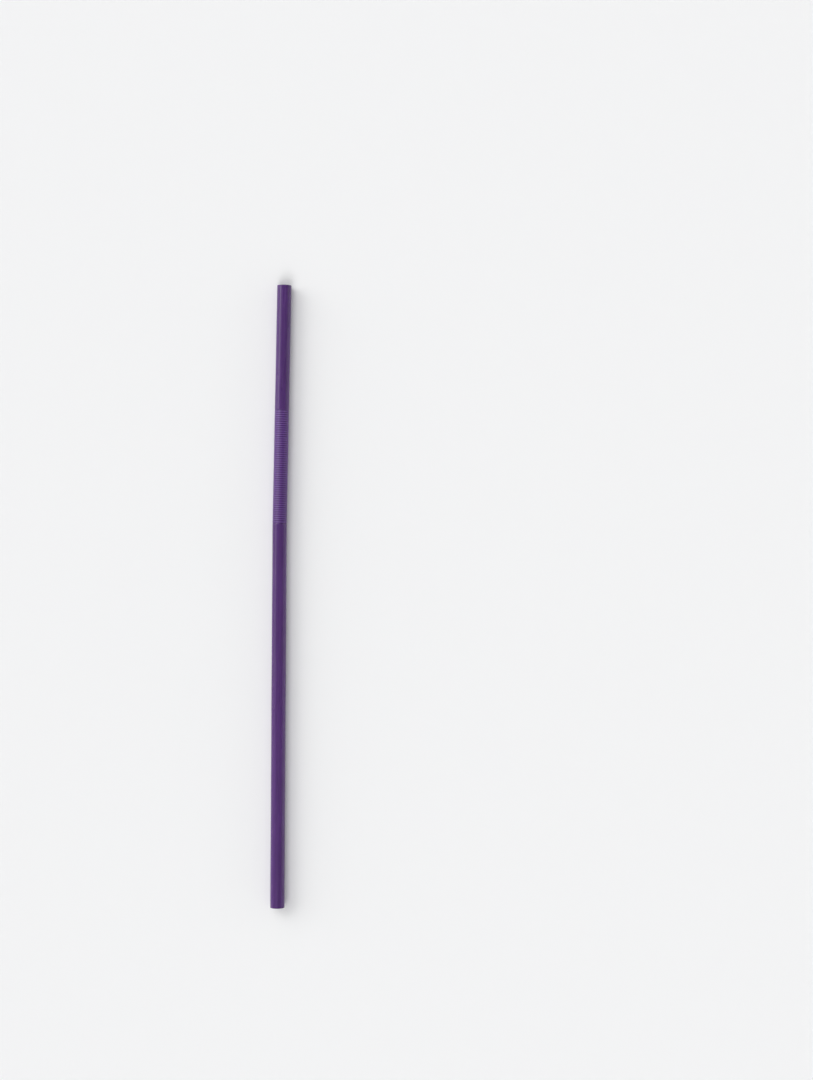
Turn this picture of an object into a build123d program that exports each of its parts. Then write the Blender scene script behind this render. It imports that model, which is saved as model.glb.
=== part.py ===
from build123d import *

import os
from math import asin, atan2, cos, degrees, radians, sin

# A flexible drinking straw: one thin-walled tube with a band of bellows, pushed together.
# It lies along Y with its drinking end towards +Y. The floor under it is z = 0.

# Driving dimensions, in mm and degrees
tube_diameter = 6.0
tube_wall = 0.18
long_end_length = 160.0  # from the bellows to the end that stands in the drink
short_end_length = 52.0  # from the bellows to the drinking end
bellows_length = 48.0
bend_angle = 0.8  # how far the bellows and the short end lean out of line with the long end
fold_pitch = 0.92  # wanted spacing of the folds, adjusted to fill the bellows evenly
fold_depth = 0.35  # from a fold's crest in to where it meets the next fold
fold_undercut = 0.1  # how far the groove reaches up behind each crest
fold_wall = 0.15  # one layer of the wall, stretched thinner where it is folded
crest_rise = 0.1  # how far the crests stand out from the tube
end_crest_rise = 0.2  # the fold next to the long end stands out a little further

# Places along the straw, measured from the bend, where the long end meets the bellows
short_tip = bellows_length + short_end_length
past_bend = tube_diameter  # how much too long each half is made, before it is cut at the bend
fold_count = round(bellows_length / fold_pitch)
fold_step = bellows_length / fold_count

# Distances from the straw's axis
tube_radius = tube_diameter / 2
bore_radius = tube_radius - tube_wall
crest_radius = tube_radius + crest_rise
end_crest_radius = tube_radius + end_crest_rise
groove_radius = crest_radius - fold_depth
folded_bore_radius = groove_radius - fold_wall


def crest(fold):
    """The rim of a fold, on its side towards the long end."""
    last_rim = fold == fold_count - 1
    radius = end_crest_radius if last_rim else crest_radius
    return Vector(bellows_length - fold * fold_step, radius)


def groove(fold):
    """The bottom of the groove where a fold comes out from under the rim before it."""
    return Vector(bellows_length - (fold - 1) * fold_step + fold_undercut, groove_radius)


def cut_at(radius, start, end):
    """The point at a distance from the axis on the line through two points."""
    return start + (end - start) * ((radius - start.Y) / (end.Y - start.Y))


# The outer face, from the drinking end to the bend. The folds are skirts that open towards
# the long end, each tucked under the one before. The plain tube takes the place of the first
# rim and of the last fold's flank.
outer_face = [Vector(short_tip, tube_radius), cut_at(tube_radius, crest(0), groove(1))]
for fold in range(1, fold_count):
    outer_face.append(groove(fold))
    outer_face.append(crest(fold))
outer_face.append(groove(fold_count))
outer_face.append(cut_at(tube_radius, crest(fold_count), groove(fold_count)))
outer_face.append(Vector(-past_bend, tube_radius))

# The bore, in the same direction. Pushed together, the layers of each fold lie flat against
# each other, three deep at its rim and one deep in its groove, so they close the bellows to
# one narrower bore. It ends in a shoulder at each tube, one layer behind the outer face.
upper_shoulder = [point + Vector(fold_wall, 0) for point in (crest(0), groove(1))]
lower_shoulder = [point - Vector(0, fold_wall) for point in (crest(fold_count), groove(fold_count))]
inner_face = [
    Vector(short_tip, bore_radius),
    cut_at(bore_radius, *upper_shoulder),
    cut_at(folded_bore_radius, *upper_shoulder),
    cut_at(folded_bore_radius, *lower_shoulder),
    cut_at(bore_radius, *lower_shoulder),
    Vector(-past_bend, bore_radius),
]

# Each half has its own straight axis, and the two meet on a plane that shares out the bend.
long_end_axis = Vector(0, -1, 0).rotate(Axis.Z, bend_angle)
mitre = Plane(origin=(0, 0, 0), z_dir=Vector(0, 1, 0).rotate(Axis.Z, bend_angle / 2))

# The bellows and the short end: their wall's section turns about Y.
with BuildPart() as short_half:
    with BuildSketch(Plane(origin=(0, 0, 0), x_dir=(0, 1, 0), z_dir=(1, 0, 0))):
        with BuildLine():
            Polyline(outer_face + inner_face[::-1], close=True)
        make_face()
    revolve(axis=Axis.Y)
    split(bisect_by=mitre, keep=Keep.TOP)

# The long end is plain tube. The other half joins it at the bend.
with BuildPart() as straw:
    with BuildSketch(Plane(origin=long_end_axis * -past_bend, z_dir=long_end_axis)):
        Circle(tube_radius)
        Circle(bore_radius, mode=Mode.SUBTRACT)
    extrude(amount=past_bend + long_end_length)
    split(bisect_by=mitre, keep=Keep.BOTTOM)
    add(short_half.part)

# At rest the bend lies off to one side (-X), so the straw can't roll. It touches the floor
# with its two tips and its proudest crest, which tips the bend up until all three are down.
tip_offset = long_end_length * sin(radians(bend_angle))
tip_distance = long_end_length * cos(radians(bend_angle)) + short_tip
turn = atan2(tip_offset, tip_distance)
crest_offset = (short_tip - crest(fold_count - 1).X) * sin(turn)
roll = asin(end_crest_rise / crest_offset) if crest_offset > end_crest_rise else radians(90)

resting = Rot(Y=degrees(roll)) * Rot(Z=-degrees(turn)) * straw.part
extent = resting.bounding_box()
resting = Pos(-extent.center().X, -extent.center().Y, -extent.min.Z) * resting
resting.label = "straw"

os.makedirs("parts", exist_ok=True)
export_step(resting, "parts/straw.step")

print(f"{extent.size.Y:.1f} mm long, {fold_count} folds of {fold_step:.3f} mm")
print(f"turned {degrees(turn):.4f} and rolled {degrees(roll):.4f} degrees")
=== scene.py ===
import random
from math import asin, atan2, cos, pi, radians, sin, tan

import bmesh
import bpy
from mathutils import Matrix, Vector


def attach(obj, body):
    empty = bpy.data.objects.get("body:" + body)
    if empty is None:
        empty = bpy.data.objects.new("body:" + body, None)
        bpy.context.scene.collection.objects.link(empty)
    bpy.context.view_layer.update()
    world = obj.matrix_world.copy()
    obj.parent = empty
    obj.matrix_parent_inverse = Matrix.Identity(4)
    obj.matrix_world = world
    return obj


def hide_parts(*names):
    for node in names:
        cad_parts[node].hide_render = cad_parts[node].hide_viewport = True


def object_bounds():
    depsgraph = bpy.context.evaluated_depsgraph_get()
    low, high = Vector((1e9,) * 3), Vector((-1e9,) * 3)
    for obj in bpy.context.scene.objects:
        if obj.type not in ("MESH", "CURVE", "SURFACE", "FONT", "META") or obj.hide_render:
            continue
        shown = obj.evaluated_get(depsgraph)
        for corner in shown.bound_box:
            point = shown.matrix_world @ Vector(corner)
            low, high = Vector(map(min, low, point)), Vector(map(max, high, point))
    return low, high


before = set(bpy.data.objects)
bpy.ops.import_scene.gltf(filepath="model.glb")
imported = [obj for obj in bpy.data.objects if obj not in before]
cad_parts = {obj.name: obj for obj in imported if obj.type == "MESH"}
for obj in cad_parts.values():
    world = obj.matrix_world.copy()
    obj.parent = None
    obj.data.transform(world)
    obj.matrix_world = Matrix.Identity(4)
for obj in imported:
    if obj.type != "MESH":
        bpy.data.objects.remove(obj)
cadLow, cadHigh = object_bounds()
print("frame loaded")

mm = 0.001

# Camera: straight above, with the straw left of the middle as in the photograph
camera = {
    "imageHeight": 451.5 * mm,  # what the picture's height covers at the straw
    "distance": 750 * mm,
    "right": 53.05 * mm,  # from the straw's middle, to the right in the picture
    "up": 23.6 * mm,
    "lean": 0.65,  # degrees that the straw leans in the picture
    "sensor": 36,
    "nearest": 0.01,  # it sees nothing nearer than this, or further than the next, in metres
    "furthest": 20,
}


def makeCamera():
    data = bpy.data.cameras.new("camera")
    data.sensor_width = camera["sensor"]
    data.lens = camera["sensor"] * camera["distance"] / camera["imageHeight"]
    data.clip_start = camera["nearest"]
    data.clip_end = camera["furthest"]
    turn = Matrix.Rotation(radians(camera["lean"]), 4, "Z")
    aside = turn @ Vector((camera["right"], camera["up"], camera["distance"]))
    obj = bpy.data.objects.new("camera", data)
    obj.matrix_world = Matrix.Translation((cadLow + cadHigh) / 2 + aside) @ turn
    bpy.context.collection.objects.link(obj)
    bpy.context.scene.camera = obj


makeCamera()
print("camera placed")

# Light: wide soft suns from the left, from beyond the drinking end and from the near side, and a
# pale room. None stands above the straw, where its middle would mirror it.
lights = {
    "left": {"from": (-0.87, 0.30, 0.42), "width": 44, "strength": 1.2},
    "beyond": {"from": (-0.50, 0.65, 0.58), "width": 40, "strength": 0.75},
    "near": {"from": (-0.15, -0.62, 0.77), "width": 40, "strength": 1.1},
}
room = {"colour": (0.97, 0.98, 1.0), "strength": 0.36}


def makeLights():
    for name, light in lights.items():
        data = bpy.data.lights.new(name, "SUN")
        data.angle = radians(light["width"])
        data.energy = light["strength"]
        obj = bpy.data.objects.new(name, data)
        obj.location = light["from"]
        obj.rotation_euler = obj.location.to_track_quat("Z", "Y").to_euler()
        bpy.context.collection.objects.link(obj)
    world = bpy.data.worlds.new("room")
    world.use_nodes = True
    background = world.node_tree.nodes["Background"]
    background.inputs["Color"].default_value = (*room["colour"], 1)
    background.inputs["Strength"].default_value = room["strength"]
    bpy.context.scene.world = world
    bpy.context.scene.view_settings.view_transform = "Standard"


makeLights()
print("lights placed")

# The straw, in mm and degrees
straw = {
    # What its solid has too
    "tubeRadius": 3.0,
    "wall": 0.18,
    "longEnd": 160.0,
    "shortEnd": 52.0,
    "bellows": 48.0,
    "folds": 52,
    "foldDepth": 0.35,
    "undercut": 0.1,
    "foldWall": 0.15,
    "crestRise": 0.1,
    "endCrestRise": 0.2,  # of the last fold, which the straw rests on
    "bend": 0.8,  # where the bellows meet the long end
    # What the fine mesh adds
    "segments": 72,
    "ringSpacing": 2.5,  # along the plain tube
    "besideFolds": 0.2,  # from the bellows to the nearest ring of plain tube
    "edgeRound": 0.05,  # at the two cut ends
    "lipRound": 0.055,  # at the rim of each fold
    "lowerRound": 0.4,  # where the long end comes out from under the last fold
    "outerSteps": 4,  # in each rounding outside
    "innerSteps": 3,  # in each of the others
    "lipLift": 0.03,  # what the rounding would take off the rim's height
    "flankPlaces": (0, 0.12, 0.35, 0.6, 0.82),  # down each fold's flank
    "flankWhiteningAndHighlight": (0, 0, 0, 0.25, 0.6),  # how much of the rim's colour each place has, lighter towards the rim: partly whitening of the stretched plastic, partly painted highlight
    "tubeRimWhiteningAndHighlight": 0.5,  # the same for the edge of the short end, whose rim is also partly whitened and partly painted highlight
    "flankCrown": 0.03,  # how far a fold's flank bulges
    "boreStep": 0.05,  # depth of the shallow steps on the bore side of the folds
    "boreStepLength": 0.12,
    "bendSpread": 4.0,  # the bend is shared out over this length each way
    "ovality": 0.015,
    "ovalTurn": 45,  # length along which the oval turns by half a radian
    "ovalStart": 0.6,
    "waviness": 0.01,
    "waves": ((5.9, 1), (13.7, 0)),  # length for each radian, and where the wave starts
    "foldShift": 0.05,  # how unevenly the folds are spaced
    "foldRise": 0.02,  # how unevenly they stand out
    "foldSeed": 7,
    "sharpFrom": 48,  # edges that turn by more than this stay sharp
}
lastFold = straw["folds"] - 1
tubeRadius = straw["tubeRadius"]
boreRadius = tubeRadius - straw["wall"]
foldStep = straw["bellows"] / straw["folds"]
grooveRadius = tubeRadius + straw["crestRise"] - straw["foldDepth"]
foldedBore = grooveRadius - straw["foldWall"]
drinkingTip = straw["bellows"] + straw["shortEnd"]
longTip = -straw["longEnd"]
tipMargin = 3 * straw["edgeRound"]  # from each tip to its first ring of plain tube


def at(along, out):
    # A point of the wall's section: its place along the straw, and its distance from the axis
    return Vector((along, out))


def crest(fold):
    rise = straw["endCrestRise"] if fold == lastFold else straw["crestRise"]
    return at(straw["bellows"] - fold * foldStep, tubeRadius + rise)


def groove(fold):
    return at(straw["bellows"] - (fold - 1) * foldStep + straw["undercut"], grooveRadius)


def cutAt(radius, start, end):
    return start.lerp(end, (radius - start.y) / (end.y - start.y))


def roundCorner(before, corner, after, radius, steps):
    # Points on the arc that takes off a corner of the section
    back = (before - corner).normalized()
    onward = (after - corner).normalized()
    half = back.angle(onward) / 2
    centre = corner + (back + onward).normalized() * radius / sin(half)
    first = corner + back * radius / tan(half) - centre
    last = corner + onward * radius / tan(half) - centre
    turns = [first.lerp(last, step / steps).normalized() for step in range(steps + 1)]
    return [centre + turn * radius for turn in turns]


def roundTip(before, corner, after, steps):
    # One edge of a cut end
    return asRings(roundCorner(at(*before), at(*corner), at(*after), straw["edgeRound"], steps))


def asRings(points, foldShare=0, whiteningAndHighlightShare=0):
    return [(point, foldShare, whiteningAndHighlightShare) for point in points]


def plainRings(start, end, radius):
    # Rings along plain tube, one end left out
    count = max(2, round(abs(end - start) / straw["ringSpacing"]))
    return asRings([at(start + (end - start) * step / count, radius) for step in range(count)])


def foldRings(fold):
    # One fold: its flank, crowned, from its groove down to its rounded rim
    uneven = at(
        random.uniform(-1, 1) * straw["foldShift"],
        random.uniform(-1, 1) * straw["foldRise"],
    )
    if fold == lastFold:  # the straw rests on it
        uneven = at(0, 0)
    top, bottom = groove(fold), crest(fold) + at(0, straw["lipLift"]) + uneven
    flank = bottom - top
    outward = Vector((-flank.y, flank.x)).normalized()
    if outward.y < 0:
        outward.negate()
    rings = []
    # Each flank grows lighter towards its rim: partly whitening of the stretched plastic, partly
    # painted highlight
    for share, whiteningAndHighlightShare in zip(straw["flankPlaces"], straw["flankWhiteningAndHighlight"]):
        crown = 4 * share * (1 - share) * straw["flankCrown"]
        rings.append((top + flank * share + outward * crown, 1, whiteningAndHighlightShare))
    steps = straw["outerSteps"]
    lip = roundCorner(rings[-1][0], bottom, groove(fold + 1), straw["lipRound"], steps)
    return rings + asRings(lip, 1, 1)


def outerRings():
    # Outside, from the drinking end to the bellows
    steps, beside = straw["outerSteps"], straw["besideFolds"]
    rings = roundTip((drinkingTip, boreRadius), (drinkingTip, tubeRadius), (0, tubeRadius), steps)
    rings += asRings([at(drinkingTip - tipMargin, tubeRadius)])
    tubeEnd = cutAt(tubeRadius, crest(0), groove(1))
    rings += plainRings(drinkingTip - 2 * tipMargin, tubeEnd.x + 2 * beside, tubeRadius)
    rings += asRings([at(tubeEnd.x + beside, tubeRadius)])
    lip = roundCorner(at(drinkingTip, tubeRadius), tubeEnd, groove(1), straw["lipRound"], steps)
    rings += asRings(lip, 0, straw["tubeRimWhiteningAndHighlight"])
    # The folds
    for fold in range(1, straw["folds"]):
        rings += foldRings(fold)
    # Out from under the last fold, and along the long end
    last = groove(straw["folds"])
    tubeStart = cutAt(tubeRadius, crest(straw["folds"]), last)
    hollow = roundCorner(
        last, tubeStart, at(longTip, tubeRadius), straw["lowerRound"], straw["innerSteps"]
    )
    rings += asRings([last] + hollow)
    start = tubeStart.x - straw["lowerRound"] - beside / 2
    rings += plainRings(start, longTip + 2 * tipMargin, tubeRadius)
    rings += asRings([at(longTip + tipMargin, tubeRadius)])
    return rings + roundTip((0, tubeRadius), (longTip, tubeRadius), (longTip, boreRadius), steps)


def boreRings():
    # The bore, from the long tip to the drinking end
    steps, foldWall = straw["innerSteps"], straw["foldWall"]
    rings = roundTip((longTip, tubeRadius), (longTip, boreRadius), (0, boreRadius), steps)
    down = at(0, foldWall)
    lower = (crest(straw["folds"]) - down, groove(straw["folds"]) - down)
    shoulder = cutAt(boreRadius, *lower)
    rings += plainRings(longTip + tipMargin, shoulder.x, boreRadius) + asRings([shoulder])
    for fold in range(straw["folds"], 0, -1):
        ridge = at(groove(fold).x, foldedBore)
        rings += asRings([ridge, ridge + at(straw["boreStepLength"], straw["boreStep"])], 1)
    aside = at(foldWall, 0)
    upper = (crest(0) + aside, groove(1) + aside)
    shoulder = cutAt(boreRadius, *upper)
    rings += asRings([cutAt(foldedBore, *upper)], 1) + asRings([shoulder])
    start = shoulder.x + 1.5 * straw["besideFolds"]
    rings += plainRings(start, drinkingTip - tipMargin, boreRadius)
    return rings + roundTip(
        (0, boreRadius), (drinkingTip, boreRadius), (drinkingTip, tubeRadius), steps
    )


def bentCentre(along):
    # Where the straw's axis runs, and the direction across it, with the bend spread out a little
    bend, spread = radians(straw["bend"]), straw["bendSpread"]
    share = min(1, max(0, (spread - along) / (2 * spread)))
    angle = bend * share
    if along < -spread:
        centre = Vector((-along * sin(bend), along * cos(bend), 0))
    else:
        centre = Vector((bend * spread * share ** 2, along, 0))
    return centre, Vector((cos(angle), sin(angle), 0))


def layDown(points):
    # The straw rests on its two tips and its last fold, with the bend off to one side
    bend = radians(straw["bend"])
    tipOffset = straw["longEnd"] * sin(bend)
    tipDistance = straw["longEnd"] * cos(bend) + drinkingTip
    turn = atan2(tipOffset, tipDistance)
    foldOffset = (drinkingTip - crest(lastFold).x) * sin(turn)  # from the line between the tips
    roll = asin(straw["endCrestRise"] / foldOffset)
    turned = Matrix.Rotation(roll, 3, "Y") @ Matrix.Rotation(-turn, 3, "Z")
    points = [turned @ point for point in points]
    # It lies where the solid does
    lowest = Vector([min(values) for values in zip(*points)])
    highest = Vector([max(values) for values in zip(*points)])
    solidMiddle = (cadLow + cadHigh) / 2 / mm
    move = solidMiddle - (lowest + highest) / 2
    move.z = cadLow.z / mm - lowest.z
    return [(point + move) * mm for point in points]


def makeStraw():
    # Each ring is a point of the section, its share of fold and its share of the rim's colour,
    # which is partly whitening and partly painted highlight
    random.seed(straw["foldSeed"])
    rings = outerRings() + boreRings()
    segments = straw["segments"]
    points, onStraw, folded, rim = [], [], [], []
    for place, foldShare, whiteningAndHighlightShare in rings:
        centre, across = bentCentre(place.x)
        wave = sum(sin(place.x / length + start) for length, start in straw["waves"])
        wave *= straw["waviness"]
        ovalAngle = place.x / straw["ovalTurn"] + straw["ovalStart"]
        for segment in range(segments):
            angle = 2 * pi * segment / segments
            oval = straw["ovality"] * cos(2 * angle + ovalAngle)
            radius = place.y + (wave + oval) * (1 - foldShare)
            outward = across * cos(angle) + Vector((0, 0, 1)) * sin(angle)
            points.append(centre + outward * radius)
            onStraw.append(Vector((cos(angle) * place.y, place.x, sin(angle) * place.y)) * mm)
            folded.append(foldShare)
            rim.append(whiteningAndHighlightShare)
    faces = []
    for ring in range(len(rings)):
        here, there = ring * segments, (ring + 1) % len(rings) * segments
        for segment in range(segments):
            beside = (segment + 1) % segments
            faces.append((here + segment, here + beside, there + beside, there + segment))
    mesh = bpy.data.meshes.new("straw_wall")
    mesh.from_pydata(layDown(points), [], faces)
    body = bmesh.new()
    body.from_mesh(mesh)
    bmesh.ops.recalc_face_normals(body, faces=body.faces)
    body.to_mesh(mesh)
    body.free()
    # What the material reads: the place on a straightened straw, and the shares of fold and of
    # the rim's colour (whitening and painted highlight)
    mesh.attributes.new("onStraw", "FLOAT_VECTOR", "POINT").data.foreach_set(
        "vector", [value for place in onStraw for value in place]
    )
    mesh.attributes.new("folded", "FLOAT", "POINT").data.foreach_set("value", folded)
    mesh.attributes.new("rim", "FLOAT", "POINT").data.foreach_set("value", rim)
    mesh.shade_smooth()
    mesh.set_sharp_from_angle(angle=radians(straw["sharpFrom"]))
    obj = bpy.data.objects.new("straw_wall", mesh)
    bpy.context.collection.objects.link(obj)
    return obj


wall = makeStraw()
print("straw made,", len(wall.data.polygons) * 2, "triangles")

# The plastic: thin, glossy and a little see-through, with pigment drawn out along the tube
plastic = {
    "tube": (0.082, 0.026, 0.156),
    "folds": (0.069, 0.021, 0.146),
    # Rims: partly the whitening of stretched plastic at the folds, partly a painted highlight on
    # each fold's rim
    "rimWhiteningAndHighlight": (0.205, 0.095, 0.355),
    "roughness": 0.27,
    "foldRoughness": 0.38,
    "refraction": 1.49,
    "shine": 0.42,  # how strongly the surface mirrors, where 0.5 is plain plastic
    "through": 0.45,  # share of the light that goes into the wall
    "throughColours": (0.7, 0.45, 1.0),  # how far red, green and blue go, for each depth
    "depth": 0.35 * mm,
    "lineStrength": 0.5,  # of the fine lines that the die leaves along the tube
    "lineDepth": 0.0006 * mm,
}
# How the plastic is uneven: the width of its grains round the tube, their length along it, and
# the least and the most that they leave of what they vary
grains = {
    "streaks": {"width": 0.6 * mm, "length": 70 * mm, "detail": 2, "least": 0.9, "most": 1.1},
    "clouds": {"width": 4 * mm, "length": 26 * mm, "detail": 2, "least": 0.92, "most": 1.08},
    "gloss": {"width": 2.5 * mm, "length": 45 * mm, "detail": 1, "least": 0.94, "most": 1.06},
    "lines": {"width": 0.5 * mm, "length": 150 * mm, "detail": 1},
}
noiseLow, noiseHigh = 0.3, 0.7  # nearly all of a noise's values lie between these


def makePlastic():
    material = bpy.data.materials.new("straw_plastic")
    material.use_nodes = True
    tree = material.node_tree
    link = tree.links.new
    shader = tree.nodes["Principled BSDF"]
    shader.inputs["IOR"].default_value = plastic["refraction"]
    shader.inputs["Specular IOR Level"].default_value = plastic["shine"]
    shader.inputs["Subsurface Weight"].default_value = plastic["through"]
    shader.inputs["Subsurface Radius"].default_value = plastic["throughColours"]
    shader.inputs["Subsurface Scale"].default_value = plastic["depth"]

    def addNode(kind, **values):
        # A node with values set or linked on its named sockets
        node = tree.nodes.new(kind)
        for name, value in values.items():
            setSocket(node.inputs[name.replace("_", " ")], value)
        return node

    def setSocket(socket, value):
        if isinstance(value, bpy.types.NodeSocket):
            link(value, socket)
        elif isinstance(value, tuple) and socket.type == "RGBA":
            socket.default_value = (*value, 1)
        else:
            socket.default_value = value

    def attribute(name, output):
        node = addNode("ShaderNodeAttribute")
        node.attribute_name = name
        return node.outputs[output]

    def noise(name):
        grain = grains[name]
        scale = (1 / grain["width"], 1 / grain["length"], 1 / grain["width"])
        mapping = addNode("ShaderNodeMapping", Vector=place, Scale=scale)
        vector = mapping.outputs["Vector"]
        node = addNode("ShaderNodeTexNoise", Vector=vector, Scale=1.0, Detail=grain["detail"])
        return node.outputs["Fac"]

    def variation(name):
        node = addNode(
            "ShaderNodeMapRange",
            Value=noise(name),
            From_Min=noiseLow,
            From_Max=noiseHigh,
            To_Min=grains[name]["least"],
            To_Max=grains[name]["most"],
        )
        return node.outputs["Result"]

    def combine(operation, *values):
        node = addNode("ShaderNodeMath")
        node.operation = operation
        for socket, value in zip(node.inputs, values):
            setSocket(socket, value)
        return node.outputs["Value"]

    def mixColour(amount, first, second):
        node = addNode("ShaderNodeMix")
        node.data_type = "RGBA"
        colours = [socket for socket in node.inputs if socket.type == "RGBA"]
        setSocket(node.inputs["Factor"], amount)
        setSocket(colours[0], first)
        setSocket(colours[1], second)
        return next(socket for socket in node.outputs if socket.type == "RGBA")

    place = attribute("onStraw", "Vector")
    foldShare = attribute("folded", "Fac")
    base = mixColour(foldShare, plastic["tube"], plastic["folds"])
    # The fold rims lighter: partly whitening of the stretched plastic, partly painted highlight
    base = mixColour(attribute("rim", "Fac"), base, plastic["rimWhiteningAndHighlight"])
    # Pigment: fine streaks along the tube, and slow clouds
    pigment = combine("MULTIPLY", variation("streaks"), variation("clouds"))
    tinted = addNode("ShaderNodeHueSaturation", Color=base, Value=pigment)
    link(tinted.outputs["Color"], shader.inputs["Base Color"])
    # Gloss: clearer on the plain tube, a little duller on the folds, and never quite even
    duller = plastic["foldRoughness"] - plastic["roughness"]
    gloss = combine("MULTIPLY_ADD", foldShare, duller, plastic["roughness"])
    link(combine("MULTIPLY", gloss, variation("gloss")), shader.inputs["Roughness"])
    # Die lines: hair-fine grooves along the tube
    bump = addNode(
        "ShaderNodeBump",
        Strength=plastic["lineStrength"],
        Distance=plastic["lineDepth"],
        Height=noise("lines"),
    )
    link(bump.outputs["Normal"], shader.inputs["Normal"])
    return material


wall.data.materials.append(makePlastic())
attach(wall, "root")
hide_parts("straw")
print("plastic made")

# The floor: plain and pale, a wide disc that curves up at its rim in place of a horizon
floor = {
    "flat": 4.5,  # radius of the flat part, in metres
    "rim": 2.6,  # radius of the curve at the rim
    "rimSteps": 16,
    "rise": 85,  # degrees that it curves through
    "segments": 96,
    "colour": (0.93, 0.93, 0.93),
    "roughness": 0.75,
}


def makeFloor():
    height = min(0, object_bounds()[0].z)
    profile = []  # distance from the middle, and height
    for step in range(floor["rimSteps"] + 1):
        angle = radians(floor["rise"] * step / floor["rimSteps"])
        out = floor["flat"] + floor["rim"] * sin(angle)
        profile.append((out, height + floor["rim"] * (1 - cos(angle))))
    points, faces = [(0, 0, height)], []
    count = floor["segments"]
    for radius, level in profile:
        for turn in range(count):
            angle = 2 * pi * turn / count
            points.append((radius * cos(angle), radius * sin(angle), level))
    for turn in range(count):
        faces.append((0, 1 + turn, 1 + (turn + 1) % count))
        for ring in range(len(profile) - 1):
            here = 1 + ring * count + turn
            beside = 1 + ring * count + (turn + 1) % count
            faces.append((here, here + count, beside + count, beside))
    mesh = bpy.data.meshes.new("floor")
    mesh.from_pydata(points, [], faces)
    mesh.shade_smooth()
    obj = bpy.data.objects.new("floor", mesh)
    bpy.context.collection.objects.link(obj)
    material = bpy.data.materials.new("pale_floor")
    material.use_nodes = True
    shader = material.node_tree.nodes["Principled BSDF"]
    shader.inputs["Base Color"].default_value = (*floor["colour"], 1)
    shader.inputs["Roughness"].default_value = floor["roughness"]
    mesh.materials.append(material)
    obj.visible_shadow = False  # the suns shine past the rim that stands in front of them


makeFloor()
print("floor made")
